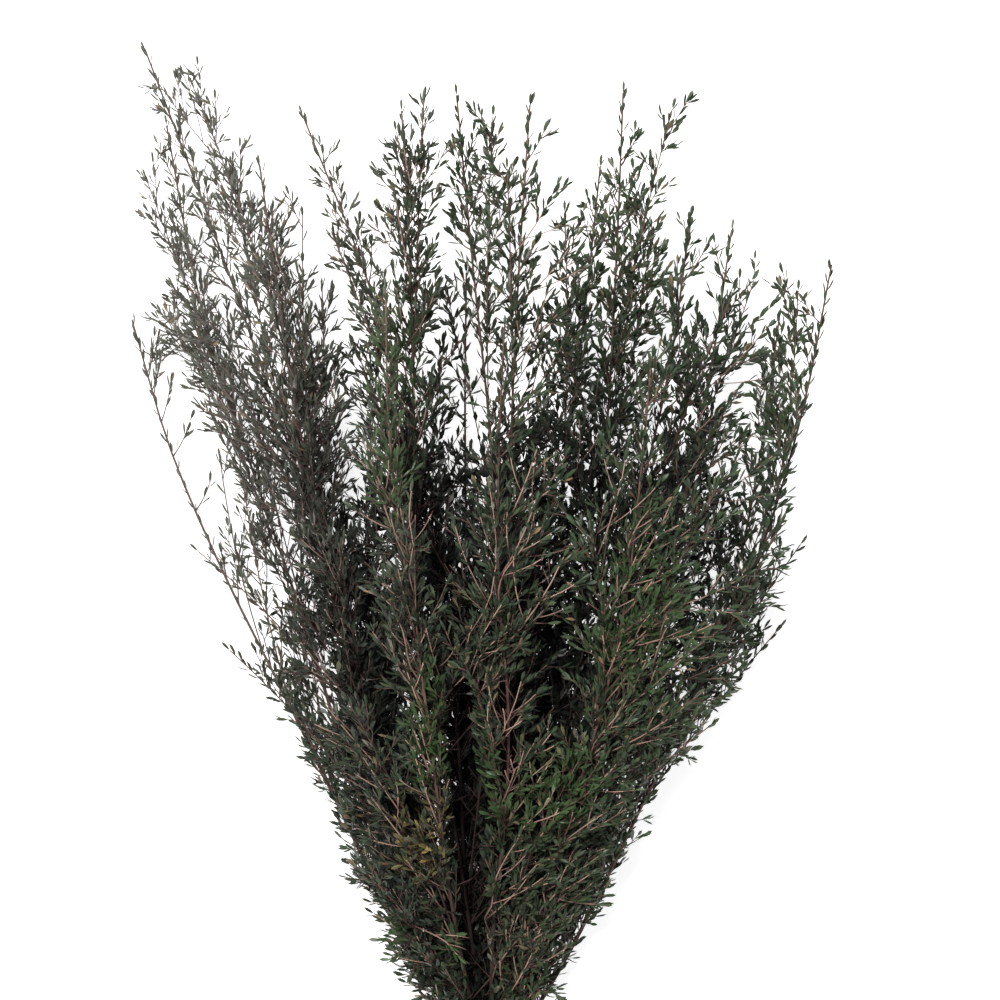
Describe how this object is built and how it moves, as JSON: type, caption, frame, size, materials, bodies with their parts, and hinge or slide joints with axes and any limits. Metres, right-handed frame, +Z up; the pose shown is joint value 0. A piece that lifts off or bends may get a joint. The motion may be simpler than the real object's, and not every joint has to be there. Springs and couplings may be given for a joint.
{
  "type": "dried leptospermum bunch",
  "caption": "Bunch of dried leafy leptospermum stems lying on its side, held by a rubber band near the cut ends and fanning out to small narrow leaves.",
  "frame": {"origin": "under the middle of the bunch, on the surface that it lies on", "axes": "+Y from the cut ends to the leafy tips, +Z up from the surface"},
  "size_m": [0.5154, 0.8228, 0.1975],
  "materials": {
    "leaf": "matte dried leaf",
    "bark": "matte thin bark",
    "band": "satin tan rubber"
  },
  "bodies": {
    "root": {"stem_a1": "leaf", "stem_a2": "leaf", "stem_a3": "leaf", "stem_b1": "leaf", "stem_b2": "leaf", "stem_b3": "leaf", "stem_b4": "leaf", "stem_c1": "leaf", "stem_c2": "leaf", "stem_c3": "leaf", "stem_c4": "leaf", "stem_c5": "leaf", "stem_d1": "leaf", "stem_d2": "leaf", "stem_d3": "leaf", "stem_d4": "leaf", "stem_e1": "leaf", "stem_e2": "leaf", "stem_e3": "leaf", "tie_band": "band"}
  },
  "joints": []
}
